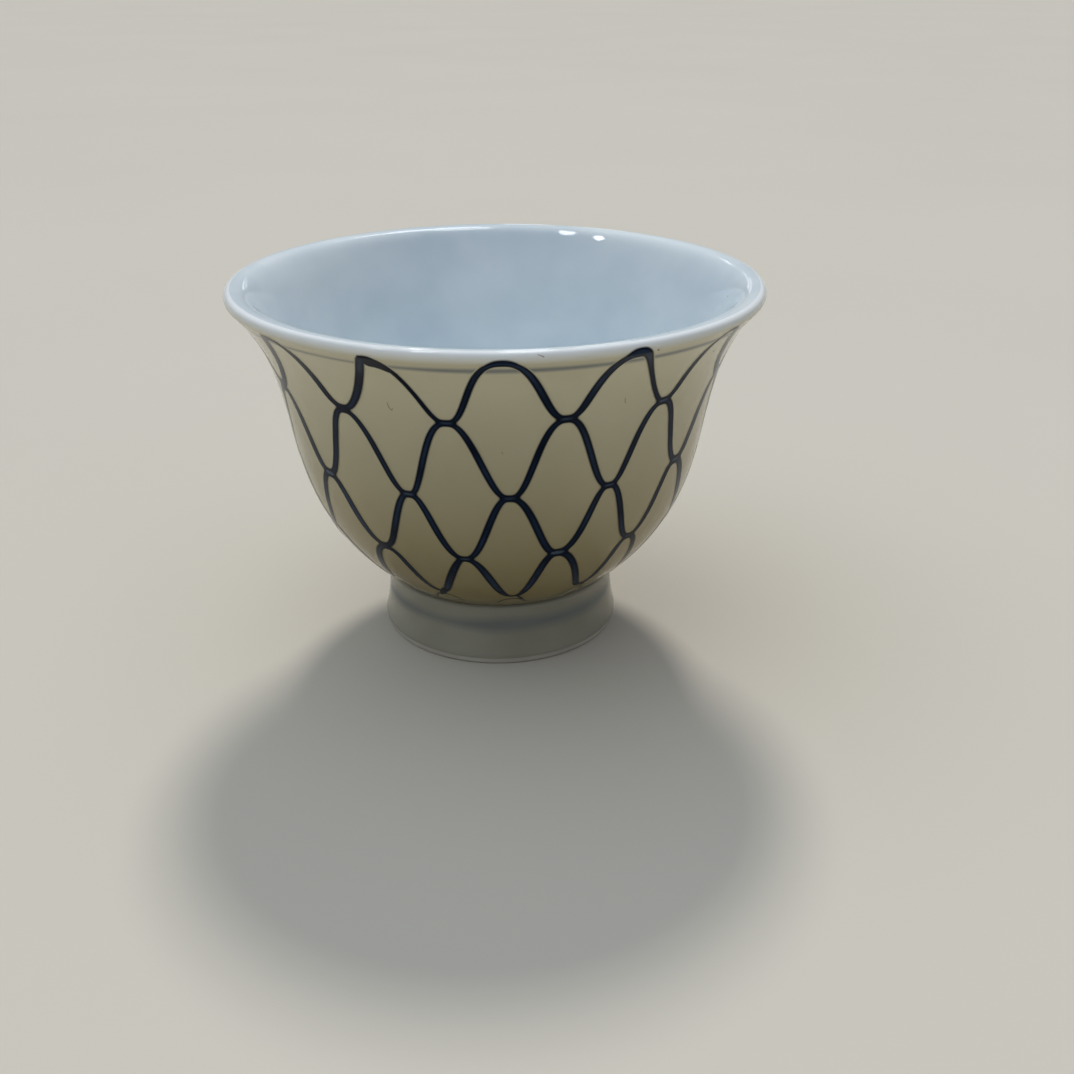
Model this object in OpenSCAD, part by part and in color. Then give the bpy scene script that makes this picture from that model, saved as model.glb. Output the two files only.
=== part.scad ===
// Small porcelain teacup with a flared lip and a turned foot.
// The outside is hand-painted with a net of brush strokes, five waves deep.
// Millimetres, +Z up along the cup's axis. The origin is the centre of the ring it stands on.

/* [Bowl] */
// Diameter over the lip
rim_d = 70; // [68:0.5:72]
// Height from the table to the top of the lip
cup_h = 49; // [48:0.5:51]
// Width of the lip, glaze included
lip_w = 2.8; // [2.6:0.1:3.2]
// Radius of the lip's outer rounding, glaze included
lip_r = 0.85; // [0.8:0.05:0.95]
// Lean of the wall at the lip, in degrees from the vertical
lip_lean = 43; // [38:1:46]
// Lean of the inside where the rounded lip ends, in degrees from the vertical
inner_lean = 65; // [60:1:70]
// Diameter of the clay at the waist, where the round belly turns into the flare
waist_d = 55.5; // [54:0.5:57]
// Height of the waist
waist_z = 31; // [29:0.5:33]
// Lean of the wall at the waist, in degrees from the vertical
waist_lean = 10.5; // [8:0.5:13]
// Thickness of the clay wall at the waist
wall = 1.8; // [1.5:0.1:2.2]
// Height of the clay floor inside the bowl
floor_z = 8.9; // [8.6:0.1:9.8]

/* [Foot] */
// Outer diameter of the foot ring in the clay, at its widest
foot_d = 33; // [32.5:0.25:34]
// Diameter of the recess under the cup, at its ceiling
recess_d = 25.6; // [25:0.1:26]
// Height of the recess
recess_h = 5.6; // [5.2:0.1:6]

/* [Glaze] */
// Thickness of the glaze
glaze_t = 0.25; // [0.2:0.01:0.35]
// Height of the bare clay left at the bottom of the foot
bare_h = 0.9; // [0.8:0.1:1.2]

/* [Painting] */
// Number of net cells around the cup
cells = 14; // [12:1:16]
// Width of a brush stroke
stroke_w = 0.9; // [0.6:0.05:0.92]
// How far a brush stroke stands proud of the glaze
stroke_t = 0.1; // [0.06:0.01:0.12]
// Height of the thin line below the lip
rim_line_z = 46.7; // [46:0.1:47]
// Width of the thin line below the lip
rim_line_w = 0.45; // [0.3:0.05:0.6]
// Height of the line around the foot
foot_line_z = 5.7; // [3:0.1:6.5]
// Width of the line around the foot
foot_line_w = 0.9; // [0.5:0.1:1.2]
// Depth to which the two lines sit in the glaze
line_depth = 0.12; // [0.08:0.01:0.15]

/* [Hidden] */
$fn = 180;

clay_color = [0.90, 0.89, 0.86];
glaze_color = [0.80, 0.83, 0.82];
cobalt_color = [0.07, 0.11, 0.22];
pale_blue_color = [0.50, 0.57, 0.62];

clay_lip_r = lip_r - glaze_t;
clay_lip_in = lip_w - lip_r - glaze_t;
lip_c = [rim_d / 2 - lip_r, cup_h - lip_r];
waist = [waist_d / 2, waist_z];
foot_r = foot_d / 2;
recess_r = recess_d / 2;

// Unit vectors in the cup's section: along a wall that leans outward, and square to it
function along(lean) = [sin(lean), cos(lean)];
function square_to(lean) = [cos(lean), -sin(lean)];

// Point of the lip whose surface faces the direction a, moved d outward. The lip is round on the
// outside, where reach is clay_lip_r, and an ellipse that reaches clay_lip_in on the inside.
function lip_point(a, reach, d) =
    let (toward = [cos(a), sin(a)])
    let (scaled = [reach * toward[0], clay_lip_r * toward[1]])
    lip_c + [reach * scaled[0], clay_lip_r * scaled[1]] / norm(scaled) + d * toward;
outer_lip = lip_point(-lip_lean, clay_lip_r, 0);
inner_lip = lip_point(180 - inner_lean, clay_lip_in, 0);

// Cubic curves of the clay's section, as [radius, height], walked from the foot up the outside,
// over the lip and down the inside
belly = [
    [recess_r, 6.8],
    [recess_r + 12.6, 15.3],
    waist - 7.1 * along(waist_lean),
    waist];
flare = [
    waist,
    waist + 9.5 * along(waist_lean),
    outer_lip - 5.4 * along(lip_lean),
    outer_lip];
inner_waist = waist - wall * square_to(waist_lean);
inner_flare = [
    inner_lip,
    inner_lip - 2.3 * along(inner_lean),
    inner_waist + 9.5 * along(waist_lean),
    inner_waist];
inner_belly = [
    inner_waist,
    inner_waist - 12.5 * along(waist_lean),
    [17, floor_z],
    [0, floor_z]];
foot_side = [
    [foot_r - 0.05, bare_h],
    [foot_r - 0.55, 2.8],
    [foot_r - 0.95, 4.6],
    [foot_r - 0.9, 7.9]];

belly_steps = 14;
flare_steps = 12;
floor_steps = 18;
foot_steps = 6;

function cubic(b, t) =
    pow(1 - t, 3) * b[0] + 3 * pow(1 - t, 2) * t * b[1]
    + 3 * (1 - t) * pow(t, 2) * b[2] + pow(t, 3) * b[3];
function cubic_way(b, t) =
    pow(1 - t, 2) * (b[1] - b[0]) + 2 * (1 - t) * t * (b[2] - b[1]) + pow(t, 2) * (b[3] - b[2]);
function right_of(way) = [way[1], -way[0]] / norm(way);

// Points along a cubic, moved d to the right of the walk: 0 gives clay, glaze_t gives glaze
function curve(b, steps, d, first = 1) =
    [for (i = [first:steps]) cubic(b, i / steps) + d * right_of(cubic_way(b, i / steps))];
function lip_arc(from, to, reach, d, first, steps = 6) =
    [for (i = [first:steps]) lip_point(from + (to - from) * i / steps, reach, d)];
function outer_line(d) = concat(
    curve(belly, belly_steps, d),
    curve(flare, flare_steps, d),
    lip_arc(-lip_lean, 90, clay_lip_r, d, 1));
function inner_line(d) = concat(
    lip_arc(90, 180 - inner_lean, clay_lip_in, d, 0),
    curve(inner_flare, flare_steps, d),
    curve(inner_belly, floor_steps, d));
function backwards(points) = [for (i = [len(points) - 1:-1:0]) points[i]];

crease = outer_line(0)[0];
glaze_crease = outer_line(glaze_t)[0];

// Radius and lean of the glazed outside at a height
side_table = [for (p = outer_line(glaze_t)) [p[1], p[0]]];
function side_r(z) = lookup(z, side_table);
function side_lean(z) = atan2(side_r(z + 0.3) - side_r(z - 0.3), 0.6);

// Radius of the glazed outside of the foot at a height
foot_table = [for (p = curve(foot_side, foot_steps, glaze_t, 0)) [p[1], p[0]]];
function foot_side_r(z) = lookup(z, foot_table);

// The painted net. Strokes meet at knots, in five rings of one knot per cell. Rings 1, 3 and 5
// stand one above the other, and rings 2 and 4 lie half a cell to the left of them.
ring_z = [0.968, 0.804, 0.598, 0.408, 0.243] * cup_h;
last_z = 9.3;
pitch = 360 / cells;
// The brush was led by hand: how far the five knots at the front of each ring sit to the right
// of their even places, in degrees, and above them, in millimetres
hand_turn = [
    [1.4, 1.2, 1.2, 1.5, 1.2],
    [1.5, 1.8, 1.6, 2.1, 1.8],
    [2.1, 2.9, 2.4, 2.7, 1.5],
    [2.8, 3.6, 2.8, 3.3, 1.8],
    [2.6, 3.3, 4.6, 4.9, 2.6]];
hand_rise = [
    [-0.2, 0.0, 0.0, 0.0, 0.0],
    [-0.5, -0.2, -0.1, 0.1, 0.1],
    [-0.4, -0.3, -0.1, 0.1, 0.4],
    [-0.5, 0.0, -0.1, 0.4, 0.2],
    [-0.2, 0.1, -0.2, 0.1, 0.2]];
front = 5;
function knot_turn(ring, i) =
    i < front ? hand_turn[ring][i] : 2.4 + 1.1 * sin(137 * i + 71 * ring);
function knot_rise(ring, i) =
    i < front ? hand_rise[ring][i] : 0.3 * sin(205 * i + 90 * ring);
function knot(ring, i) =
    let (k = (i + cells) % cells)
    [(i - 2 - (ring % 2) / 2) * pitch + knot_turn(ring, k), ring_z[ring] + knot_rise(ring, k)];

// Wave number row runs from the knots of its ring down to the knots of the next ring.
// It hangs from half a stroke below its own knots and ends half a stroke above the others.
stroke_clear = 0.02;
function half_gap(ring) = ring == 0 ? 0 : stroke_w / 2 + stroke_clear;
function peak(row, i) = knot(row, i) - [0, half_gap(row)];
function valley(row, i) =
    row == len(ring_z) - 1
        ? [(i + 0.5 - 2) * pitch + 3, last_z]
        : knot(row + 1, i + 1 - row % 2) + [0, half_gap(row + 1)];
// Each leg leaves its peak on the level and comes into its valley on the level
leg_steps = 8;
level_run = 0.22 * pitch;
function leg_curve(start, end) =
    [start, start + [level_run, 0], end - [level_run, 0], end];
function stroke_point(row, k) =
    let (leg = floor(k / leg_steps))
    let (cell = floor(leg / 2))
    let (down = leg % 2 == 0)
    let (start = down ? peak(row, cell) : valley(row, cell))
    let (end = down ? valley(row, cell) : peak(row, cell + 1))
    cubic(leg_curve(start, end), (k % leg_steps) / leg_steps);

// Places and directions on the glazed outside at [angle, height]; angle 0 is the front, -Y
function on_side(p) =
    let (r = side_r(p[1]))
    [r * sin(p[0]), -r * cos(p[0]), p[1]];
function off_side(p) =
    let (lean = side_lean(p[1]))
    [cos(lean) * sin(p[0]), -cos(lean) * cos(p[0]), -sin(lean)];
// Four corners of a stroke's section: two on the glaze, two on its slightly narrower top
function stroke_ring(row, k, count) =
    let (p = stroke_point(row, k))
    let (before = on_side(stroke_point(row, (k + count - 1) % count)))
    let (after = on_side(stroke_point(row, (k + 1) % count)))
    let (out = off_side(p))
    let (way = after - before)
    let (across = cross(out, way / norm(way)))
    let (base = on_side(p) + stroke_clear * out)
    let (top = base + stroke_t * out)
    let (half = stroke_w / 2)
    [base - half * across, base + half * across,
        top + 0.75 * half * across, top - 0.75 * half * across];

module stroke_wave(row) {
    count = cells * 2 * leg_steps;
    corners = [for (k = [0:count - 1]) each stroke_ring(row, k, count)];
    faces = [for (k = [0:count - 1]) for (m = [0:3])
        let (a = 4 * k + m)
        let (b = 4 * k + (m + 1) % 4)
        let (c = 4 * ((k + 1) % count) + (m + 1) % 4)
        let (d = 4 * ((k + 1) % count) + m)
        each [[a, b, c], [a, c, d]]];
    polyhedron(points = corners, faces = faces, convexity = 8);
}

module lathe(section) {
    rotate_extrude() polygon(section);
}

// A ring over the glaze between two heights, which reaches line_depth into it. It cuts a groove for
// a line, and what it shares with the glaze is the line that fills the groove.
module line_cutter(r_low, r_high, z, line_w) {
    lathe([
        [r_low - line_depth, z - line_w / 2],
        [r_low + 1, z - line_w / 2],
        [r_high + 1, z + line_w / 2],
        [r_high - line_depth, z + line_w / 2]]);
}

module rim_line_cutter() {
    line_cutter(
        side_r(rim_line_z - rim_line_w / 2), side_r(rim_line_z + rim_line_w / 2),
        rim_line_z, rim_line_w);
}

module foot_line_cutter() {
    line_cutter(
        foot_side_r(foot_line_z - foot_line_w / 2), foot_side_r(foot_line_z + foot_line_w / 2),
        foot_line_z, foot_line_w);
}

module outer_glaze_shell() {
    lathe(concat(outer_line(glaze_t), backwards(outer_line(0))));
}

module foot_glaze_shell() {
    lathe(concat(
        curve(foot_side, foot_steps, glaze_t, 0),
        [glaze_crease, crease],
        backwards(curve(foot_side, foot_steps, 0, 0))));
}

// Clay wall and floor of the cup
module bowl() {
    color(clay_color)
    lathe(concat(
        [[0, recess_h], [recess_r, recess_h], belly[0]],
        outer_line(0),
        inner_line(0)));
}

// Clay ring the cup stands on
module foot_ring() {
    color(clay_color)
    lathe(concat(
        [[recess_r, recess_h], [recess_r + 0.65, 0.6], [recess_r + 1.1, 0.1], [recess_r + 1.3, 0]],
        [[foot_r - 0.45, 0], [foot_r - 0.15, 0.12], [foot_r, 0.45]],
        curve(foot_side, foot_steps, 0, 0),
        [crease, belly[0]]));
}

module inner_glaze() {
    color(glaze_color)
    lathe(concat(inner_line(glaze_t), backwards(inner_line(0))));
}

module outer_glaze() {
    color(glaze_color)
    difference() {
        outer_glaze_shell();
        rim_line_cutter();
    }
}

module foot_glaze() {
    color(glaze_color)
    difference() {
        foot_glaze_shell();
        foot_line_cutter();
    }
}

// Glaze inside the recess under the cup
module base_glaze() {
    color(glaze_color)
    lathe([
        [0, recess_h],
        [recess_r, recess_h],
        [recess_r + 0.55, 1.3],
        [recess_r + 0.3, 1.3],
        [recess_r - 0.2, recess_h - 0.9],
        [recess_r - 0.8, recess_h - glaze_t],
        [0, recess_h - glaze_t]]);
}

module rim_line() {
    color(pale_blue_color)
    intersection() {
        outer_glaze_shell();
        rim_line_cutter();
    }
}

module foot_line() {
    color(pale_blue_color)
    intersection() {
        foot_glaze_shell();
        foot_line_cutter();
    }
}

// Waves of the net, from the lip down
module net_row_1() {
    color(cobalt_color) stroke_wave(0);
}

module net_row_2() {
    color(cobalt_color) stroke_wave(1);
}

module net_row_3() {
    color(cobalt_color) stroke_wave(2);
}

module net_row_4() {
    color(cobalt_color) stroke_wave(3);
}

module net_row_5() {
    color(cobalt_color) stroke_wave(4);
}

bowl();
foot_ring();
inner_glaze();
outer_glaze();
foot_glaze();
base_glaze();
rim_line();
foot_line();
net_row_1();
net_row_2();
net_row_3();
net_row_4();
net_row_5();
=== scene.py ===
"""Looks of the teacup: smooth glazed porcelain, a hand-painted cobalt net, camera, light and floor.

Lengths in this script are millimetres, apart from what goes to Blender, which is in metres.
Angles around the cup are degrees from the front (-Y), growing towards +X.
"""

import math

import bpy
import numpy as np
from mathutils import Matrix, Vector


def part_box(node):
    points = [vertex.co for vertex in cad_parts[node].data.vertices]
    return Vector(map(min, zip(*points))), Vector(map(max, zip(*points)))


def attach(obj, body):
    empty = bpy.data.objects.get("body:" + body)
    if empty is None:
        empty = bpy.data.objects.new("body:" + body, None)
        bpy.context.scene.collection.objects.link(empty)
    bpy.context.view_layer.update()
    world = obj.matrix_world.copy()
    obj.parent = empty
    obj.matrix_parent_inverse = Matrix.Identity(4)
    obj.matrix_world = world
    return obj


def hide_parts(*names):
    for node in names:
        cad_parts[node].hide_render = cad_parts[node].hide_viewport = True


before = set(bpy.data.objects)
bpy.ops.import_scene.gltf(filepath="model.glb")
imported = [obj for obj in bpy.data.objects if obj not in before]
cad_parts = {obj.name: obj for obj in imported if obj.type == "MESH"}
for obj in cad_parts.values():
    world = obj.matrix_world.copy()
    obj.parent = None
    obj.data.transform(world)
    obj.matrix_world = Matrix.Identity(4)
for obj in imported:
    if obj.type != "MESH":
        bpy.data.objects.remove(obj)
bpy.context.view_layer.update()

MM = 0.001
BODY = "root"

# ---------------------------------------------------------------- sizes, from the CAD frame
lip_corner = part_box("outer_glaze")[1]
LIP_R = lip_corner.x / MM
CUP_H = lip_corner.z / MM
FOOT_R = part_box("foot_ring")[1].x / MM
BARE_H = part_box("foot_glaze")[0].z / MM
RECESS_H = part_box("base_glaze")[1].z / MM
FLOOR_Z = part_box("inner_glaze")[0].z / MM

# Sizes that the frame's boxes don't show. A lean is an angle from the vertical: of the outside at
# the lip, of the inside where the rounded lip ends, and of the wall at the waist.
GLAZE_T = 0.25
LIP_W = 2.8
LIP_OUTER_R = 0.85
LIP_LEAN = math.radians(43)
INNER_LEAN = math.radians(65)
WAIST_LEAN = math.radians(10.5)
WALL = 1.8
WAIST = np.array([27.75, 31.0])
RECESS_R = 12.8
# Height at which the seam between bowl and foot turns from a cylinder into a cone
SEAM_H = 6.8

clay_lip_r = LIP_OUTER_R - GLAZE_T
clay_lip_in = LIP_W - LIP_OUTER_R - GLAZE_T
lip_centre = np.array([LIP_R - LIP_OUTER_R, CUP_H - LIP_OUTER_R])


def along(lean):
    """Unit vector of a wall that leans outward, in the [radius, height] section."""
    return np.array([math.sin(lean), math.cos(lean)])


def square_to(lean):
    """Unit vector out of a wall that leans outward."""
    return np.array([math.cos(lean), -math.sin(lean)])


def lip_points(angles, reach, d):
    """Points of the lip whose surface faces the given angles, moved d outward.

    The lip is round on the outside, where reach is clay_lip_r, and an ellipse that reaches
    clay_lip_in on the inside.
    """
    toward = np.stack([np.cos(angles), np.sin(angles)], axis=-1)
    half = np.array([reach, clay_lip_r])
    scaled = half * toward
    return lip_centre + half * scaled / np.linalg.norm(scaled, axis=-1, keepdims=True) + d * toward


# Cubic curves of the clay's section, walked from the foot up the outside, over the lip and down
# the inside
BELLY = np.array([
    [RECESS_R, SEAM_H],
    [RECESS_R + 12.6, 15.3],
    WAIST - 7.1 * along(WAIST_LEAN),
    WAIST,
])
outer_lip = lip_points(-LIP_LEAN, clay_lip_r, 0.0)
inner_lip = lip_points(math.pi - INNER_LEAN, clay_lip_in, 0.0)
FLARE = np.array([
    WAIST,
    WAIST + 9.5 * along(WAIST_LEAN),
    outer_lip - 5.4 * along(LIP_LEAN),
    outer_lip,
])
inner_waist = WAIST - WALL * square_to(WAIST_LEAN)
INNER_FLARE = np.array([
    inner_lip,
    inner_lip - 2.3 * along(INNER_LEAN),
    inner_waist + 9.5 * along(WAIST_LEAN),
    inner_waist,
])
INNER_BELLY = np.array([
    inner_waist,
    inner_waist - 12.5 * along(WAIST_LEAN),
    [17.0, FLOOR_Z],
    [0.0, FLOOR_Z],
])
FOOT_SIDE = np.array([
    [FOOT_R - 0.05, BARE_H],
    [FOOT_R - 0.55, 2.8],
    [FOOT_R - 0.95, 4.6],
    [FOOT_R - 0.9, 7.9],
])
# Parameter of the belly's curve at the crease over the foot
CREASE_AT = 1 / 14

# Pieces that each curve is cut into
BELLY_STEPS = 56
FLARE_STEPS = 44
LIP_STEPS = 26
INNER_LIP_STEPS = 24
INNER_BELLY_STEPS = 64
FOOT_STEPS = 30


# ---------------------------------------------------------------- section lines
def cubic(b, t):
    """Points and unit normals (to the right of the walk) of a cubic at the parameters t."""
    t = np.asarray(t, float)[:, None]
    point = (1 - t) ** 3 * b[0] + 3 * (1 - t) ** 2 * t * b[1] + 3 * (1 - t) * t**2 * b[2] + t**3 * b[3]
    way = (1 - t) ** 2 * (b[1] - b[0]) + 2 * (1 - t) * t * (b[2] - b[1]) + t**2 * (b[3] - b[2])
    out = np.stack([way[:, 1], -way[:, 0]], axis=1)
    return point, out / np.linalg.norm(out, axis=1)[:, None]


def curve(b, steps, d, start=0.0, end=1.0):
    """Points along a cubic, moved d to the right: 0 gives clay, GLAZE_T gives glaze."""
    point, out = cubic(b, np.linspace(start, end, steps + 1))
    return point + d * out


def joined(*runs):
    """One line out of runs that share their end points."""
    return np.concatenate([runs[0]] + [run[1:] for run in runs[1:]])


def outer_line(d):
    """Outside of the bowl, from the crease to the top of the lip."""
    return joined(
        curve(BELLY, BELLY_STEPS, d, CREASE_AT),
        curve(FLARE, FLARE_STEPS, d),
        lip_points(np.linspace(-LIP_LEAN, math.pi / 2, LIP_STEPS + 1), clay_lip_r, d),
    )


def inner_line(d):
    """Inside of the bowl, from the top of the lip to the middle of the floor."""
    angles = np.linspace(math.pi / 2, math.pi - INNER_LEAN, INNER_LIP_STEPS + 1)
    return joined(
        lip_points(angles, clay_lip_in, d),
        curve(INNER_FLARE, FLARE_STEPS, d),
        curve(INNER_BELLY, INNER_BELLY_STEPS, d),
    )


crease = curve(BELLY, 1, 0.0, CREASE_AT)[0]
glaze_crease = curve(BELLY, 1, GLAZE_T, CREASE_AT)[0]


def foot_line_at(d):
    """Outside of the foot, from the edge of the glaze to its shoulder under the crease."""
    return curve(FOOT_SIDE, FOOT_STEPS, d)


# Distance in mm to either side over which an outline's slope is taken
NORMAL_REACH = 0.15


class Outline:
    """A section line measured by the length s along it, from its lower end."""

    def __init__(self, points):
        self.points = points
        self.s = np.concatenate([[0.0], np.cumsum(np.linalg.norm(np.diff(points, axis=0), axis=1))])
        self.length = self.s[-1]

    def radius(self, s):
        return np.interp(s, self.s, self.points[:, 0])

    def height(self, s):
        return np.interp(s, self.s, self.points[:, 1])

    def s_at(self, height):
        return np.interp(height, self.points[:, 1], self.s)

    def out(self, s):
        """Unit normals, as [radius, height]."""
        before = s - NORMAL_REACH
        after = s + NORMAL_REACH
        dr = self.radius(after) - self.radius(before)
        dz = self.height(after) - self.height(before)
        n = np.stack([dz, -dr], axis=-1)
        return n / np.linalg.norm(n, axis=-1)[..., None]


# ---------------------------------------------------------------- turning sections into meshes
def thrown(angle, r, z):
    """The slight unevenness of a cup thrown and turned by hand: a low, slow change of radius."""
    a = np.radians(angle)
    rise = np.clip(z / CUP_H, 0, 1)
    swell = 0.035 * np.sin(2 * a + 0.6) + 0.02 * np.sin(3 * a + 2.1)
    swell = swell + 0.012 * np.sin(5 * a + 0.4 + 4 * rise)
    rings = 0.010 * np.sin(z * 1.9 + 0.5 * np.sin(a)) * rise
    return r + (swell * rise + rings) * np.clip(r / 12, 0, 1), z + 0.03 * rise**4 * np.sin(2 * a + 2.5)


def place(angle, r, z):
    """Metres in the frame of the cup for an angle, a radius and a height."""
    r, z = thrown(angle, r, z)
    a = np.radians(angle)
    return np.stack([r * np.sin(a), -r * np.cos(a), z], axis=-1) * MM


def finish_piece(piece, material, slot, *nodes):
    """Material and body of a piece, and the CAD nodes that it stands for, which it hides. slot is not
    used.
    """
    piece.data.materials.append(material)
    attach(piece, BODY)
    if nodes:
        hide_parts(*nodes)


def mesh_object(name, points, faces):
    """A new object with its own mesh, in the scene."""
    mesh = bpy.data.meshes.new(name)
    mesh.from_pydata([tuple(p) for p in points], [], faces)
    mesh.validate()
    mesh.update()
    piece = bpy.data.objects.new(name, mesh)
    bpy.context.scene.collection.objects.link(piece)
    return piece


# Columns of faces around a turned piece
TURNS = 288


def lathe(name, section, corner_deg=35):
    """A closed [radius, height] outline, walked anticlockwise, turned into a smooth solid."""
    angles = np.arange(TURNS) * 360 / TURNS
    points = []
    rows = []
    for r, z in section:
        if r < 1e-6:
            rows.append([len(points)] * TURNS)
            points.append(place(0.0, 0.0, z))
            continue
        rows.append(list(range(len(points), len(points) + TURNS)))
        points.extend(place(angles, np.full(TURNS, r), np.full(TURNS, z)))
    faces = []
    count = len(section)
    for k in range(count):
        low = rows[k]
        high = rows[(k + 1) % count]
        if low[0] == low[1] and high[0] == high[1]:
            continue
        for i in range(TURNS):
            j = (i + 1) % TURNS
            if low[0] == low[1]:
                faces.append((low[0], high[j], high[i]))
            elif high[0] == high[1]:
                faces.append((low[i], low[j], high[0]))
            else:
                faces.append((low[i], low[j], high[j], high[i]))
    piece = mesh_object(name, points, faces)
    piece.data.shade_smooth()
    piece.data.set_sharp_from_angle(angle=math.radians(corner_deg))
    return piece


# ---------------------------------------------------------------- the painted net
# Turning points of each wave, from left to right across the front: angle, height, how far the
# stroke's curve reaches to the left and to the right of it, its width there, and its width on the
# way to the next turn. Valleys and peaks take turns, and the first and last are alike.
FRONT_ROWS = [
    [
        (-63.0, 39.2, 5.0, 5.5, 1.30, 1.70),
        (-50.0, 47.2, 4.5, 6.5, 1.20, 1.45),
        (-36.8, 39.5, 5.7, 4.9, 1.00, 1.35),
        (-24.4, 47.5, 1.6, 5.1, 1.30, 0.90),
        (-11.4, 39.35, 4.3, 4.8, 0.90, 1.10),
        (0.8, 47.8, 6.6, 6.2, 1.15, 1.25),
        (14.9, 39.65, 4.7, 5.3, 1.00, 1.40),
        (26.9, 47.75, 6.4, 2.6, 1.65, 0.95),
        (40.2, 39.6, 2.8, 5.3, 1.00, 1.35),
        (52.6, 47.5, 5.7, 4.5, 0.85, 1.85),
        (66.5, 39.8, 5.0, 5.0, 1.50, 1.50),
    ],
    [
        (-62.6, 38.6, 5.0, 5.0, 1.30, 1.60),
        (-49.3, 29.0, 5.5, 5.3, 1.20, 1.30),
        (-37.0, 39.0, 5.1, 5.7, 1.00, 1.15),
        (-22.9, 29.1, 4.9, 3.7, 0.90, 1.15),
        (-11.3, 39.15, 5.5, 5.0, 0.95, 1.15),
        (2.5, 29.3, 4.9, 5.1, 0.90, 1.15),
        (15.1, 39.35, 5.7, 5.3, 1.05, 1.20),
        (28.3, 29.5, 4.7, 4.5, 0.90, 1.25),
        (40.4, 39.35, 5.5, 5.7, 1.10, 1.25),
        (53.0, 29.8, 5.5, 5.3, 1.15, 1.70),
        (66.3, 39.2, 5.0, 5.0, 1.25, 1.30),
    ],
    [
        (-61.5, 19.8, 4.5, 4.5, 1.15, 1.30),
        (-49.4, 28.7, 4.5, 5.7, 1.15, 1.40),
        (-35.0, 20.2, 5.9, 5.5, 1.00, 1.25),
        (-22.8, 28.9, 3.7, 4.3, 1.00, 1.20),
        (-10.0, 20.05, 5.5, 5.5, 0.95, 1.20),
        (2.5, 29.1, 4.3, 5.5, 1.00, 1.25),
        (16.0, 20.6, 4.9, 6.3, 1.25, 1.25),
        (28.5, 29.3, 4.3, 4.1, 0.95, 1.20),
        (40.3, 20.4, 5.7, 5.5, 1.00, 1.25),
        (52.8, 29.5, 5.5, 5.3, 1.20, 1.60),
        (66.5, 20.5, 5.0, 5.0, 1.15, 1.30),
    ],
    [
        (-61.5, 19.3, 5.0, 5.0, 1.15, 1.30),
        (-48.8, 12.1, 4.5, 4.5, 1.10, 1.25),
        (-35.0, 19.7, 5.3, 6.5, 1.05, 1.15),
        (-22.4, 12.4, 6.1, 3.9, 1.00, 1.35),
        (-10.0, 19.8, 2.8, 5.7, 1.00, 1.40),
        (4.6, 12.0, 6.3, 6.0, 0.75, 1.35),
        (16.3, 20.3, 4.9, 5.8, 1.35, 1.20),
        (31.4, 12.4, 4.8, 5.5, 1.05, 1.15),
        (40.4, 20.1, 4.9, 5.1, 1.00, 1.15),
        (54.0, 12.5, 5.9, 5.5, 1.10, 1.20),
        (66.5, 19.9, 5.0, 5.0, 1.15, 1.30),
    ],
]
CELLS = 14
rng = np.random.default_rng(14)
# How far the unseen knots around the back stray from even spacing: one row for each ring of
# knots, from the lip down, in degrees and millimetres
BACK_STEPS = 2 * (CELLS - 5)
stray_angle = rng.uniform(-1.1, 1.1, (6, BACK_STEPS))
stray_height = rng.uniform(-0.3, 0.3, (6, BACK_STEPS))


def whole_row(row):
    """The turns of a wave all the way round: the front ones, and the back ones in their rhythm."""
    front = FRONT_ROWS[row]
    first, second, last = front[0], front[1], front[-1]
    end_ring = 1 if row < 2 else 3
    mid_ring = (0, 2, 2, 4)[row]
    gap = first[0] + 360 - last[0]
    turns = list(front)
    for j in range(1, BACK_STEPS):
        is_end = j % 2 == 0
        ring = end_ring if is_end else mid_ring
        height = (first if is_end else second)[1] + stray_height[ring][j]
        angle = last[0] + gap * j / BACK_STEPS + stray_angle[ring][j]
        reach = rng.uniform(4.0, 5.4, 2)
        width = rng.uniform(0.82, 1.1)
        leg_width = rng.uniform(0.8, 1.2)
        turns.append((angle, height, reach[0], reach[1], width, leg_width))
    turns.append((first[0] + 360,) + first[1:])
    return turns


# Samples of the brush along a leg, along the level stretch at a turn, and along a short mark
LEG_SAMPLES = 64
LEVEL_SAMPLES = 12
DAB_SAMPLES = 24
# Half of the level stretch at each turn, in degrees
LEVEL = 0.8
# Odd number of samples over which a stroke's path is eased
EASE = 17


def stroke_samples(turns):
    """Angle, height and width of the brush along the legs between the turns."""
    t = np.linspace(0, 1, LEG_SAMPLES, endpoint=False)
    samples = []
    for here, there in zip(turns, turns[1:]):
        leg = np.array([
            [here[0] + LEVEL, here[1]],
            [here[0] + here[3], here[1]],
            [there[0] - there[2], there[1]],
            [there[0] - LEVEL, there[1]],
        ])
        start = [here[0] - LEVEL, here[1]]
        end = [here[0] + LEVEL, here[1]]
        level = np.linspace(start, end, LEVEL_SAMPLES, endpoint=False)
        samples.append(np.column_stack([level, np.full(len(level), here[4])]))
        point, _ = cubic(leg, t)
        swell = np.sin(math.pi * t)
        turn_width = np.where(t < 0.5, here[4], there[4])
        width = turn_width + (here[5] - turn_width) * swell
        samples.append(np.column_stack([point, width]))
    return eased(np.concatenate(samples))


def eased(samples):
    """The samples averaged with their neighbours, which rounds the stroke's turns."""
    window = np.hanning(EASE + 2)[1:-1]
    window /= window.sum()
    padded = np.pad(samples, ((EASE // 2, EASE // 2), (0, 0)), mode="edge")
    return np.column_stack([np.convolve(padded[:, k], window, mode="valid") for k in range(3)])


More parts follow.
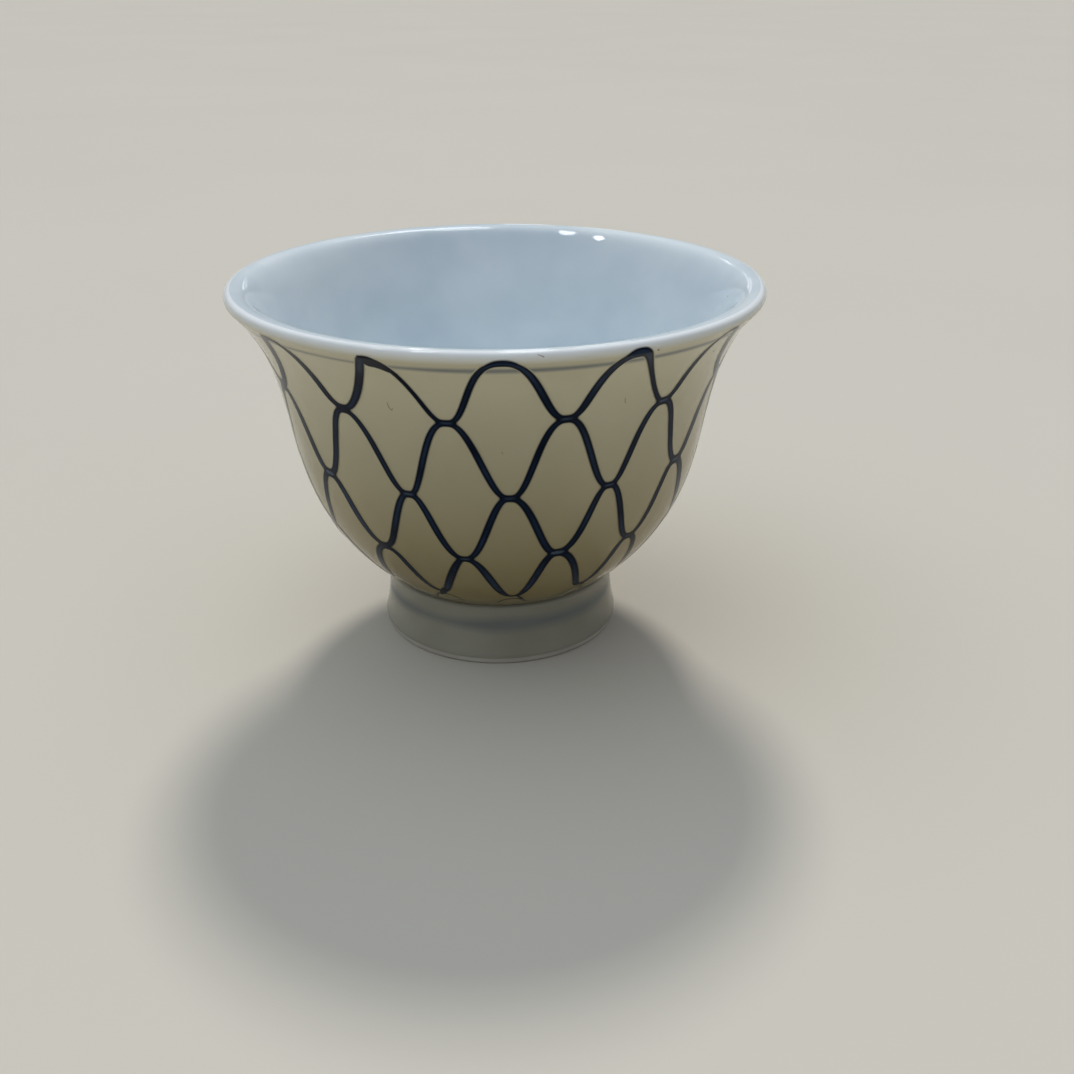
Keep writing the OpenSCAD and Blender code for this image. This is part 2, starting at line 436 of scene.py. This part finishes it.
# Marks of the brush beside the waves, as lists of [angle, height, width]: the square corner where
# the second front peak begins, and the overshoots of the fourth wave below its valleys
CORNER_DABS = [
    [
        (-25.5, 47.7, 0.7), (-24.4, 47.5, 1.3), (-23.2, 47.25, 1.5),
        (-22.1, 47.0, 1.3), (-20.9, 46.5, 1.05), (-19.6, 45.6, 0.85),
    ],
    [(-24.3, 46.8, 1.3), (-23.2, 46.7, 1.2), (-22.0, 46.4, 0.95), (-20.8, 46.0, 0.8)],
]
FOOT_DABS = [
    [(-20.4, 13.1, 1.0), (-21.8, 12.3, 1.15), (-23.0, 11.7, 1.0), (-24.2, 11.1, 0.5)],
    [(6.6, 11.9, 0.6), (8.0, 11.3, 0.5), (9.0, 10.8, 0.3)],
    [(32.4, 12.3, 0.8), (33.6, 12.0, 0.6)],
]


def dab_samples(dab):
    """Samples of the brush along a short mark."""
    t = np.linspace(0, 1, DAB_SAMPLES)
    place_in = t * (len(dab) - 1)
    values = np.array(dab)
    return np.column_stack([np.interp(place_in, range(len(dab)), values[:, k]) for k in range(3)])


# Specks and hair-thin marks of iron in the glaze, as lists of [angle, height, width]
FLECKS = [
    [(-24.0, 41.3, 0.2), (-23.9, 40.7, 0.24), (-23.4, 40.3, 0.22), (-23.0, 40.6, 0.16)],
    [(28.3, 41.2, 0.16), (28.5, 40.7, 0.2), (28.8, 40.5, 0.16)],
    [(52.4, 44.5, 0.24), (52.7, 44.3, 0.24)],
    [(0.7, 35.5, 0.18), (0.9, 35.3, 0.2)],
    [(7.1, 48.7, 0.16), (8.1, 48.45, 0.2)],
    [(30.3, 47.8, 0.3), (30.5, 47.75, 0.3)],
    [(141.0, 33.5, 0.2), (141.4, 33.0, 0.2)],
    [(-118.0, 24.5, 0.2), (-117.6, 24.8, 0.22), (-117.2, 24.7, 0.16)],
]


# Distance in mm from a stroke that stands for anywhere beyond its reach
FAR = 9.0


class PaintGrid:
    """A fine grid over a glazed outline, on which strokes leave their distance fields."""

    def __init__(self, outline, columns, pitch, reach=1.1):
        self.outline = outline
        self.columns = columns
        self.s = np.arange(0, outline.length, pitch)
        self.reach = reach

    def field(self, samples):
        """Distance in mm from the edge of a stroke, negative inside it, far away elsewhere."""
        field = np.full((len(self.s), self.columns), FAR)
        s_of = self.outline.s_at(samples[:, 1])
        step = 360 / self.columns
        for (angle, _, width), s in zip(samples, s_of):
            r = float(self.outline.radius(s))
            low = np.searchsorted(self.s, s - self.reach)
            high = np.searchsorted(self.s, s + self.reach)
            side = math.degrees(self.reach / r)
            cols = np.arange(math.floor((angle - side) / step), math.ceil((angle + side) / step) + 1)
            across = np.radians(cols * step - angle) * r
            up = self.s[low:high] - s
            distance = np.hypot(across[None, :], up[:, None]) - width / 2
            block = np.ix_(range(low, high), cols % self.columns)
            field[block] = np.minimum(field[block], distance)
        return field


# How deep inside the second of two strokes, in mm, a pooled corner ends and a crossing starts, and
# the depths over which each of them fades
POOL_END = 0.24
POOL_FADE = 0.16
OVER_START = 0.14
OVER_FADE = 0.12


def smooth_union(fields, blend):
    """The strokes joined, with the corners between them filled, and two masks from 0 to 1.

    pool is high in the filled corners, where pigment gathered, and over where strokes overlap.
    """
    ordered = np.sort(fields, axis=0)
    near, second = ordered[0], ordered[1]
    h = np.clip(blend - (second - near), 0, None) / blend
    meet = np.clip(1 - (second - near) / (2 * blend), 0, 1)
    pool = meet * np.clip((second + POOL_END) / POOL_FADE, 0, 1)
    over = np.clip((-second - OVER_START) / OVER_FADE, 0, 1)
    return near - h * h * blend / 4, pool, over


# Depth in mm inside the edge of the paint at which its skin is at full height
FULL_DEPTH = 0.16


def paint_mesh(name, grid, union, masks, owner, row, lift, relief):
    """The painted cells of one wave as a thin raised skin, with its depth and masks as attributes.

    Cells that the edge of the paint crosses are clipped along it, and neighbours share corners.
    """
    rows, columns = union.shape
    inside = union < 0
    points = []
    values = {attribute: [] for attribute in ("edge_mm", *masks)}
    index = {}

    def add(key, i, j, t, vertical):
        """Number of the point a share t of the way from grid point i, j to its neighbour."""
        if key in index:
            return index[key]
        i2 = i + 1 if vertical else i
        j2 = j if vertical else j + 1
        s = grid.s[i] + (grid.s[min(i2, rows - 1)] - grid.s[i]) * t
        angle = (j + (j2 - j) * t) * 360 / columns
        here = (i, j % columns)
        there = (min(i2, rows - 1), j2 % columns)
        depth = max(-(union[here] * (1 - t) + union[there] * t), 0.0)
        out = grid.outline.out(np.array([s]))[0]
        rise = lift + relief * min(depth / FULL_DEPTH, 1.0) ** 0.5
        r = float(grid.outline.radius(s)) + out[0] * rise
        z = float(grid.outline.height(s)) + out[1] * rise
        index[key] = len(points)
        points.append(place(angle, r, z))
        values["edge_mm"].append(depth)
        for mask, field in masks.items():
            values[mask].append(field[here] * (1 - t) + field[there] * t)
        return index[key]

    faces = []
    near_inside = inside[:-1] | inside[1:]
    near_inside = near_inside | np.roll(near_inside, -1, axis=1)
    for i, j in zip(*np.nonzero(near_inside & (owner[:-1] == row))):
        corners = [(i, j), (i, j + 1), (i + 1, j + 1), (i + 1, j)]
        value = [union[a, b % columns] for a, b in corners]
        if min(value) >= 0:
            continue
        if max(value) < 0:
            faces.append([add((a, b % columns), a, b % columns, 0.0, False) for a, b in corners])
            continue
        ring = []
        for k in range(4):
            (a, b), (c, d) = corners[k], corners[(k + 1) % 4]
            if value[k] < 0:
                ring.append(add((a, b % columns), a, b % columns, 0.0, False))
            if (value[k] < 0) != (value[(k + 1) % 4] < 0):
                (a, b), (c, d) = sorted([(a, b), (c, d)])
                u1, u2 = union[a, b % columns], union[c, d % columns]
                ring.append(add((a, b % columns, c - a), a, b % columns, u1 / (u1 - u2), c > a))
        if len(ring) >= 3:
            faces.append(ring)
    piece = mesh_object(name, points, faces)
    piece.data.shade_smooth()
    for attribute, numbers in values.items():
        layer = piece.data.attributes.new(attribute, "FLOAT", "POINT")
        layer.data.foreach_set("value", np.array(numbers, np.float32))
    return piece


# ---------------------------------------------------------------- materials
def new_material(name):
    """A material, its nodes and links, its shader and its object coordinates."""
    material = bpy.data.materials.new(name)
    material.use_nodes = True
    nodes = material.node_tree.nodes
    links = material.node_tree.links
    shader = nodes["Principled BSDF"]
    coords = nodes.new("ShaderNodeTexCoord").outputs["Object"]
    return material, nodes, links, shader, coords


def noise(nodes, links, coords, scale, detail=3.0, roughness=0.5):
    """Cloudy noise from 0 to 1."""
    node = nodes.new("ShaderNodeTexNoise")
    node.inputs["Scale"].default_value = scale
    node.inputs["Detail"].default_value = detail
    node.inputs["Roughness"].default_value = roughness
    links.new(coords, node.inputs["Vector"])
    return node.outputs["Fac"]


def span(nodes, links, value, low, high, to_low=0.0, to_high=1.0):
    """The value's way from low to high, carried over to the way from to_low to to_high."""
    node = nodes.new("ShaderNodeMapRange")
    node.inputs["From Min"].default_value = low
    node.inputs["From Max"].default_value = high
    node.inputs["To Min"].default_value = to_low
    node.inputs["To Max"].default_value = to_high
    links.new(value, node.inputs["Value"])
    return node.outputs["Result"]


def mix(nodes, links, factor, a, b):
    """Mix two colours; a and b are sockets or (r, g, b)."""
    node = nodes.new("ShaderNodeMix")
    node.data_type = "RGBA"
    for letter, value in (("A", a), ("B", b)):
        socket = next(s for s in node.inputs if s.name == letter and s.type == "RGBA")
        if isinstance(value, tuple):
            socket.default_value = (*value, 1.0)
        else:
            links.new(value, socket)
    if isinstance(factor, float):
        node.inputs["Factor"].default_value = factor
    else:
        links.new(factor, node.inputs["Factor"])
    return next(s for s in node.outputs if s.type == "RGBA")


def bump(nodes, links, shader, height, strength, distance):
    """Fine relief on a shader, at most distance metres high."""
    node = nodes.new("ShaderNodeBump")
    node.inputs["Strength"].default_value = strength
    node.inputs["Distance"].default_value = distance
    links.new(height, node.inputs["Height"])
    links.new(node.outputs["Normal"], shader.inputs["Normal"])


def multiplied(nodes, links, a, b):
    """The product of two values."""
    node = nodes.new("ShaderNodeMath")
    node.operation = "MULTIPLY"
    links.new(a, node.inputs[0])
    links.new(b, node.inputs[1])
    return node.outputs["Value"]


# Heights between which the outside's colour changes: lighter and bluer over the lip, the glaze's own
# bluish white brightened as painted light where the lip faces up; cream on the wall; darker towards
# the foot as painted shade; and olive in the crease, painted shade with some glaze gathered there
LIP_TINT_AND_LIGHT_BLEND = (47.6, 48.9)
WALL_SHADE_BLEND = (44.0, 14.0)
CREASE_SHADE_BLEND = (10.9, 8.5)


def glaze_color(nodes, links, coords, tones):
    """Cloudy glaze colour with fine iron specks.

    tones holds the colours of thin and thick glaze, and for the outside also those near the foot,
    in the crease and on the lip: the foot and crease tones are painted shade, and the lip tone is
    partly painted light. On the inside the cloud between thin and thick stands for soft painted
    reflections.
    """
    cloud = noise(nodes, links, coords, 55.0, 3.0)
    color = mix(nodes, links, span(nodes, links, cloud, 0.35, 0.65), tones["thin"], tones["thick"])
    if "low" in tones:
        split = nodes.new("ShaderNodeSeparateXYZ")
        links.new(coords, split.inputs["Vector"])
        height = split.outputs["Z"]
        # Painted shade darkens the wall towards the foot and in the crease; painted light brightens the
        # lip
        for tone, (start, end) in (("low", WALL_SHADE_BLEND), ("crease", CREASE_SHADE_BLEND), ("lip", LIP_TINT_AND_LIGHT_BLEND)):
            share = span(nodes, links, height, start * MM, end * MM)
            color = mix(nodes, links, share, color, tones[tone])
    speck = nodes.new("ShaderNodeTexVoronoi")
    speck.inputs["Scale"].default_value = 160.0
    links.new(coords, speck.inputs["Vector"])
    tiny = span(nodes, links, speck.outputs["Distance"], 0.055, 0.02)
    rare = span(nodes, links, noise(nodes, links, coords, 900.0, 1.0), 0.60, 0.66)
    return mix(nodes, links, multiplied(nodes, links, tiny, rare), color, (0.20, 0.17, 0.13))


def glaze_surface(nodes, links, shader, coords, ior):
    """The gloss and the faint orange-peel waves of the glaze."""
    links.new(
        span(nodes, links, noise(nodes, links, coords, 240.0), 0.3, 0.7, 0.03, 0.07),
        shader.inputs["Roughness"],
    )
    shader.inputs["IOR"].default_value = ior
    bump(nodes, links, shader, noise(nodes, links, coords, 170.0, 2.0), 0.06, 0.0004)


# Gloss is kept a little below that of real glaze, and lowest over the paint
INSIDE_IOR = 1.38
OUTSIDE_IOR = 1.31
PAINT_IOR = 1.17


def glaze_material(name, tones, ior):
    """Clear glossy glaze over white porcelain."""
    material, nodes, links, shader, coords = new_material(name)
    links.new(glaze_color(nodes, links, coords, tones), shader.inputs["Base Color"])
    glaze_surface(nodes, links, shader, coords, ior)
    shader.inputs["Subsurface Weight"].default_value = 0.12
    shader.inputs["Subsurface Radius"].default_value = (1.0, 0.8, 0.6)
    shader.inputs["Subsurface Scale"].default_value = 0.001
    return material


def clay_material(name):
    """Bare fired porcelain: chalky, finely grained, a little warm where the glaze stopped."""
    material, nodes, links, shader, coords = new_material(name)
    grain = noise(nodes, links, coords, 2600.0, 4.0, 0.7)
    patch = noise(nodes, links, coords, 140.0, 3.0)
    # Both tones are darker than bare porcelain, as painted shade matching the shaded foot
    color = mix(nodes, links, span(nodes, links, patch, 0.3, 0.7), (0.56, 0.53, 0.46), (0.48, 0.44, 0.37))
    color = mix(nodes, links, span(nodes, links, grain, 0.55, 0.75), color, (0.52, 0.48, 0.41))
    links.new(color, shader.inputs["Base Color"])
    links.new(span(nodes, links, grain, 0.3, 0.7, 0.75, 0.95), shader.inputs["Roughness"])
    bump(nodes, links, shader, grain, 0.5, 0.0001)
    return material


def paint_material(name, tones, core, dark, over, edge_soft, rim_at, core_at):
    """Cobalt under the glaze, fading into it at its edge: dark round its rim, lighter within.

    edge_soft, rim_at and core_at are depths in mm inside the edge: where the paint is at full
    strength, where its dark rim ends, and where its lighter core begins. The pigment is darkest
    in the corners where strokes meet and thin where one crossed the other.
    """
    material, nodes, links, shader, coords = new_material(name)

    def attribute(key):
        node = nodes.new("ShaderNodeAttribute")
        node.attribute_name = key
        return node.outputs["Fac"]

    edge = attribute("edge_mm")
    load = noise(nodes, links, coords, 190.0, 2.0)
    mottle = noise(nodes, links, coords, 1500.0, 2.0)
    core_color = mix(nodes, links, span(nodes, links, load, 0.35, 0.70), core, dark)
    core_color = mix(nodes, links, span(nodes, links, mottle, 0.5, 0.8, 0.0, 0.4), core_color, dark)
    crossing = span(nodes, links, noise(nodes, links, coords, 80.0, 1.0), 0.42, 0.58, 0.25, 1.0)
    crossing = multiplied(nodes, links, crossing, attribute("over"))
    core_color = mix(nodes, links, crossing, core_color, over)
    color = mix(nodes, links, span(nodes, links, edge, rim_at, core_at), dark, core_color)
    color = mix(nodes, links, attribute("pool"), color, dark)
    bare = glaze_color(nodes, links, coords, tones)
    strength = span(nodes, links, edge, 0.0, edge_soft)
    links.new(mix(nodes, links, strength, bare, color), shader.inputs["Base Color"])
    glaze_surface(nodes, links, shader, coords, PAINT_IOR)
    return material


# The inside's soft blotches between its two tones are painted reflections over the glaze's bluish white
INSIDE_GLAZE_AND_REFLECTION_TONES = {"thin": (0.80, 0.865, 0.90), "thick": (0.65, 0.735, 0.80)}
# The outside is the same glaze as the inside, painted darker and warmer as painted shade with a warm
# painted bounce light; its low and crease tones are painted shade, its lip tone partly painted light
WALL_SHADE_AND_LIGHT_TONES = {
    "thin": (0.625, 0.58, 0.415),
    "thick": (0.575, 0.53, 0.37),
    "low": (0.27, 0.215, 0.095),
    "crease": (0.16, 0.14, 0.08),
    "lip": (0.92, 0.95, 0.97),
}
# The foot is the same glaze too, painted darker grey as painted shade
FOOT_SHADE_TONES = {"thin": (0.375, 0.36, 0.295), "thick": (0.31, 0.295, 0.235)}
inside_glaze = glaze_material("glaze_inside_painted_reflections", INSIDE_GLAZE_AND_REFLECTION_TONES, INSIDE_IOR)
outside_glaze = glaze_material("glaze_outside_painted_shade", WALL_SHADE_AND_LIGHT_TONES, OUTSIDE_IOR)
foot_glaze = glaze_material("glaze_foot_painted_shade", FOOT_SHADE_TONES, OUTSIDE_IOR)
biscuit_painted_shade = clay_material("biscuit_painted_shade")
cobalt = paint_material(
    "cobalt", WALL_SHADE_AND_LIGHT_TONES, (0.016, 0.034, 0.072), (0.001, 0.004, 0.014), (0.075, 0.102, 0.145),
    0.20, 0.30, 0.52)
# The last wave's faint wash is real, but its dark olive is painted shade near the foot
shaded_thin_wash = paint_material(
    "cobalt_wash_painted_shade", WALL_SHADE_AND_LIGHT_TONES, (0.09, 0.09, 0.07), (0.07, 0.07, 0.055), (0.07, 0.07, 0.055),
    0.22, 0.24, 0.30)
iron = paint_material(
    "iron", WALL_SHADE_AND_LIGHT_TONES, (0.24, 0.20, 0.14), (0.28, 0.24, 0.17), (0.28, 0.24, 0.17),
    0.08, 0.09, 0.12)
pale_line = paint_material(
    "pale_line", WALL_SHADE_AND_LIGHT_TONES, (0.25, 0.26, 0.24), (0.29, 0.295, 0.27), (0.25, 0.26, 0.24),
    0.55, 0.56, 0.60)
foot_wash = paint_material(
    "foot_line", FOOT_SHADE_TONES, (0.205, 0.215, 0.205), (0.225, 0.235, 0.22), (0.205, 0.215, 0.205),
    1.15, 1.16, 1.30)


# ---------------------------------------------------------------- clay and glaze
base_inner = [[0.0, RECESS_H], [RECESS_R, RECESS_H], [RECESS_R, SEAM_H]]
bowl = lathe("clay_bowl", np.concatenate([base_inner, outer_line(0.0), inner_line(0.0)[1:]]))
finish_piece(bowl, biscuit_painted_shade, "clay", "bowl")

foot_section = np.concatenate([
    [[RECESS_R, SEAM_H], [RECESS_R, RECESS_H], [RECESS_R + 0.65, 0.6], [RECESS_R + 0.85, 0.25]],
    [[RECESS_R + 1.1, 0.06], [RECESS_R + 1.4, 0.0], [FOOT_R - 0.5, 0.0], [FOOT_R - 0.28, 0.04]],
    [[FOOT_R - 0.1, 0.16], [FOOT_R - 0.01, 0.38]],
    foot_line_at(0.0),
    [crease],
])
foot = lathe("clay_foot", foot_section)
finish_piece(foot, biscuit_painted_shade, "clay", "foot_ring")

outer = lathe("outer_glaze_coat", np.concatenate([outer_line(GLAZE_T), outer_line(0.0)[::-1]]))
finish_piece(outer, outside_glaze, "glaze", "outer_glaze")

inner = lathe("inner_glaze_coat", np.concatenate([inner_line(GLAZE_T), inner_line(0.0)[::-1]]))
finish_piece(inner, inside_glaze, "glaze", "inner_glaze")

foot_outside = np.concatenate([
    [[FOOT_R - 0.04, BARE_H], [FOOT_R + 0.1, BARE_H + 0.05]],
    foot_line_at(GLAZE_T)[2:],
    [[FOOT_R - 0.72, 8.2], [FOOT_R - 0.88, 8.38], glaze_crease],
])
foot_coat_section = np.concatenate([foot_outside, [crease], foot_line_at(0.0)[::-1]])
foot_coat = lathe("foot_glaze_coat", foot_coat_section)
finish_piece(foot_coat, foot_glaze, "glaze", "foot_glaze")

base_coat = lathe("base_glaze_coat", np.array([
    [0.0, RECESS_H - GLAZE_T],
    [RECESS_R - 1.1, RECESS_H - GLAZE_T],
    [RECESS_R - 0.6, RECESS_H - GLAZE_T - 0.12],
    [RECESS_R - 0.3, RECESS_H - GLAZE_T - 0.4],
    [RECESS_R - 0.17, RECESS_H - 1.1],
    [RECESS_R + 0.3, 1.4],
    [RECESS_R + 0.55, 1.3],
    [RECESS_R, RECESS_H],
    [0.0, RECESS_H],
]))
finish_piece(base_coat, foot_glaze, "glaze", "base_glaze")

# ---------------------------------------------------------------- paint
# Columns around the cup, and rows in mm, of the grids for the net, the flecks and the two lines
GRID_COLUMNS = 1500
GRID_PITCH = 0.14
FLECK_COLUMNS = 3600
FLECK_PITCH = 0.06
RING_COLUMNS = 900
RING_PITCH = 0.08
# Heights in mm of each skin over the glaze: at its edge, and how much more in its middle
PAINT_LIFT = 0.012
PAINT_RELIEF = 0.030
FLECK_LIFT = 0.004
FLECK_RELIEF = 0.002
RING_LIFT = 0.005
RING_RELIEF = 0.003
# Width in mm over which the corner between two strokes is filled
CORNER_FILL = 0.5

side = Outline(outer_line(GLAZE_T))
grid = PaintGrid(side, GRID_COLUMNS, GRID_PITCH)

# Depth in mm inside a dab at which the pigment has gathered fully
PRESSED_DEPTH = 0.25
rows = [whole_row(row) for row in range(len(FRONT_ROWS))]
fields = [grid.field(stroke_samples(turns)) for turns in rows]
pressed = np.zeros_like(fields[0])
for row, dabs in ((0, CORNER_DABS), (3, FOOT_DABS)):
    for dab in dabs:
        dab_field = grid.field(dab_samples(dab))
        fields[row] = np.minimum(fields[row], dab_field)
        pressed = np.maximum(pressed, np.clip(-dab_field / PRESSED_DEPTH, 0, 1))

# The last wave: thin faint strokes that rise to the lowest knots and die out at the crease. Each
# spans LAST_SIDE degrees to either side of its knot, starts at the height LAST_LOW, and stays
# LAST_BELOW under the knot.
LAST_SIDE = 7.5
LAST_LOW = 10.0
LAST_BELOW = 0.85
last_samples = []
for turn in rows[3][1:-1:2]:
    last_samples.append(stroke_samples([
        (turn[0] - LAST_SIDE, LAST_LOW, 2, 2, 0.4, 0.55),
        (turn[0], turn[1] - LAST_BELOW, 4, 4, 0.65, 0.6),
        (turn[0] + LAST_SIDE, LAST_LOW, 2, 2, 0.4, 0.6),
    ]))
fields.append(grid.field(np.concatenate(last_samples)))

fields = np.array(fields)
union, pool, over = smooth_union(fields, CORNER_FILL)
pool = np.maximum(pool, pressed)
owner = np.argmin(fields, axis=0)
masks = {"pool": pool, "over": over}
LAST_ROW = len(fields) - 1
for row in range(len(fields)):
    material = shaded_thin_wash if row == LAST_ROW else cobalt
    wave = paint_mesh(f"net_wave_{row + 1}", grid, union, masks, owner, row, PAINT_LIFT, PAINT_RELIEF)
    finish_piece(wave, material, "cobalt", f"net_row_{row + 1}")

fleck_grid = PaintGrid(side, FLECK_COLUMNS, FLECK_PITCH, reach=0.3)
fleck_field = fleck_grid.field(np.concatenate([dab_samples(fleck) for fleck in FLECKS]))
no_mask = np.zeros_like(fleck_field)
flecks = paint_mesh(
    "iron_flecks", fleck_grid, fleck_field, {"pool": no_mask, "over": no_mask}, no_mask.astype(int),
    0, FLECK_LIFT, FLECK_RELIEF)
finish_piece(flecks, iron, "glaze")


def painted_ring(name, outline, height, width, material, node):
    """A line that was painted on a turning cup: level, a little uneven in width."""
    ring_grid = PaintGrid(outline, RING_COLUMNS, RING_PITCH, reach=0.8 * width)
    angles = np.arange(RING_COLUMNS) * 360 / RING_COLUMNS
    a = np.radians(angles)
    heights = height + 0.05 * np.sin(2 * a + 1.0) + 0.03 * np.sin(5 * a)
    widths = width * (1 + 0.18 * np.sin(3 * a + 0.7) + 0.1 * np.sin(7 * a + 2))
    line = ring_grid.field(np.column_stack([angles, heights, widths]))
    none = np.zeros_like(line)
    no_masks = {"pool": none, "over": none}
    ring = paint_mesh(name, ring_grid, line, no_masks, none.astype(int), 0, RING_LIFT, RING_RELIEF)
    finish_piece(ring, material, "pale_blue", node)


# Height and width of each painted line
RIM_LINE = (46.7, 1.25)
FOOT_LINE = (5.65, 2.7)
foot_side = Outline(foot_line_at(GLAZE_T))
painted_ring("rim_line_paint", side, *RIM_LINE, pale_line, "rim_line")
painted_ring("foot_line_paint", foot_side, *FOOT_LINE, foot_wash, "foot_line")

# ---------------------------------------------------------------- floor, light and camera
floor_material, nodes, links, shader, coords = new_material("pale_floor")
floor_tone = noise(nodes, links, coords, 6.0)
floor_color = mix(nodes, links, floor_tone, (0.66, 0.62, 0.55), (0.62, 0.58, 0.51))
links.new(floor_color, shader.inputs["Base Color"])
shader.inputs["Roughness"].default_value = 0.8
shader.inputs["Specular IOR Level"].default_value = 0.2
# Side of the floor in metres
FLOOR_SIZE = 60.0
bpy.ops.mesh.primitive_plane_add(size=FLOOR_SIZE, location=(0, 0, 0))
floor = bpy.context.object
floor.name = "floor"
floor.data.materials.append(floor_material)

world = bpy.data.worlds.new("studio")
bpy.context.scene.world = world
world.use_nodes = True
sky_nodes = world.node_tree.nodes
sky_links = world.node_tree.links
sky_split = sky_nodes.new("ShaderNodeSeparateXYZ")
sky_links.new(sky_nodes.new("ShaderNodeTexCoord").outputs["Generated"], sky_split.inputs["Vector"])
# A soft white ceiling that dims towards the horizon
HORIZON_STRENGTH = 0.14
ZENITH_STRENGTH = 0.66
sky_links.new(
    span(sky_nodes, sky_links, sky_split.outputs["Z"], 0.0, 1.0, HORIZON_STRENGTH, ZENITH_STRENGTH),
    sky_nodes["Background"].inputs["Strength"],
)
sky_nodes["Background"].inputs["Color"].default_value = (0.76, 0.81, 0.88, 1)


def direction(azimuth, elevation):
    """Unit vector towards a light: azimuth from +Y towards +X, both in degrees."""
    a = math.radians(azimuth)
    e = math.radians(elevation)
    return Vector((math.cos(e) * math.sin(a), math.cos(e) * math.cos(a), math.sin(e)))


def add_light(kind, name, way, distance, energy, color):
    """A light seen from the cup along way, shining back at it."""
    data = bpy.data.lights.new(name, kind)
    data.energy = energy
    data.color = color
    light = bpy.data.objects.new(name, data)
    bpy.context.scene.collection.objects.link(light)
    light.location = distance * way + Vector((0, 0, CUP_H * MM))
    light.rotation_euler = way.to_track_quat("Z", "Y").to_euler()
    return light


# The key is high behind the cup, so its shadow falls towards the front, and a broad fill comes
# from the left. The lamps only give the lip its highlights.
key = add_light("SUN", "key", direction(3.0, 47.4), 1.0, 1.7, (1.0, 0.97, 0.91))
key.data.angle = math.radians(10)
key.visible_glossy = False

fill = add_light("SUN", "fill", direction(-100.0, 66.0), 1.0, 0.62, (0.80, 0.92, 1.0))
fill.data.angle = math.radians(70)
fill.visible_glossy = False

LAMP_COLOR = (0.94, 0.97, 1.0)


def shape_lamp(lamp, shape, width, length):
    """The shape and size in metres of a lamp that only shows as a reflection."""
    lamp.data.shape = shape
    lamp.data.size = width
    lamp.data.size_y = length
    lamp.visible_diffuse = False


# Lamps behind the cup: azimuth and elevation in degrees, width and height in metres, power
BACK_LAMPS = [
    (1.5, 13.0, 0.04, 0.20, 0.03),
    (5.3, 12.0, 0.045, 0.14, 0.015),
    (-5.7, 27.0, 0.015, 0.08, 0.12),
]
for k, (azimuth, elevation, width, height, power) in enumerate(BACK_LAMPS):
    way = direction(azimuth, elevation)
    lamp = add_light("AREA", f"back_lamp_{k + 1}", way, 1.0, power, LAMP_COLOR)
    shape_lamp(lamp, "RECTANGLE", width, height)

# Lamps over the cup: shape, place, width and length in metres, turn in degrees, power
CEILING_LAMPS = [
    ("RECTANGLE", 0.07, 0.66, 0.13, 0.90, 0, 2.2),
    ("ELLIPSE", -0.27, 0.09, 0.065, 0.45, -21, 1.5),
    ("ELLIPSE", -0.50, 0.02, 0.065, 0.35, -39, 1.5),
]
# Height in metres of these lamps over the lip
CEILING_H = 0.95
for k, (shape, x, y, width, length, turn, power) in enumerate(CEILING_LAMPS):
    way = Vector((x, y, CEILING_H))
    lamp = add_light("AREA", f"ceiling_lamp_{k + 1}", way, 1.0, power, LAMP_COLOR)
    lamp.rotation_euler = (0, 0, math.radians(turn))
    shape_lamp(lamp, shape, width, length)

bpy.context.scene.view_settings.view_transform = "Standard"

# How far the camera looks down and to the right, in degrees
CAMERA_DOWN = 25.08
CAMERA_RIGHT = 1.88
camera_data = bpy.data.cameras.new("camera")
camera = bpy.data.objects.new("camera", camera_data)
bpy.context.scene.collection.objects.link(camera)
camera_data.sensor_width = 36.0
camera_data.lens = 41.9
camera_data.clip_start = 0.01
camera.location = (0.0, -0.1625, 0.0873)
camera.rotation_euler = (math.radians(90 - CAMERA_DOWN), 0.0, math.radians(-CAMERA_RIGHT))
bpy.context.scene.camera = camera
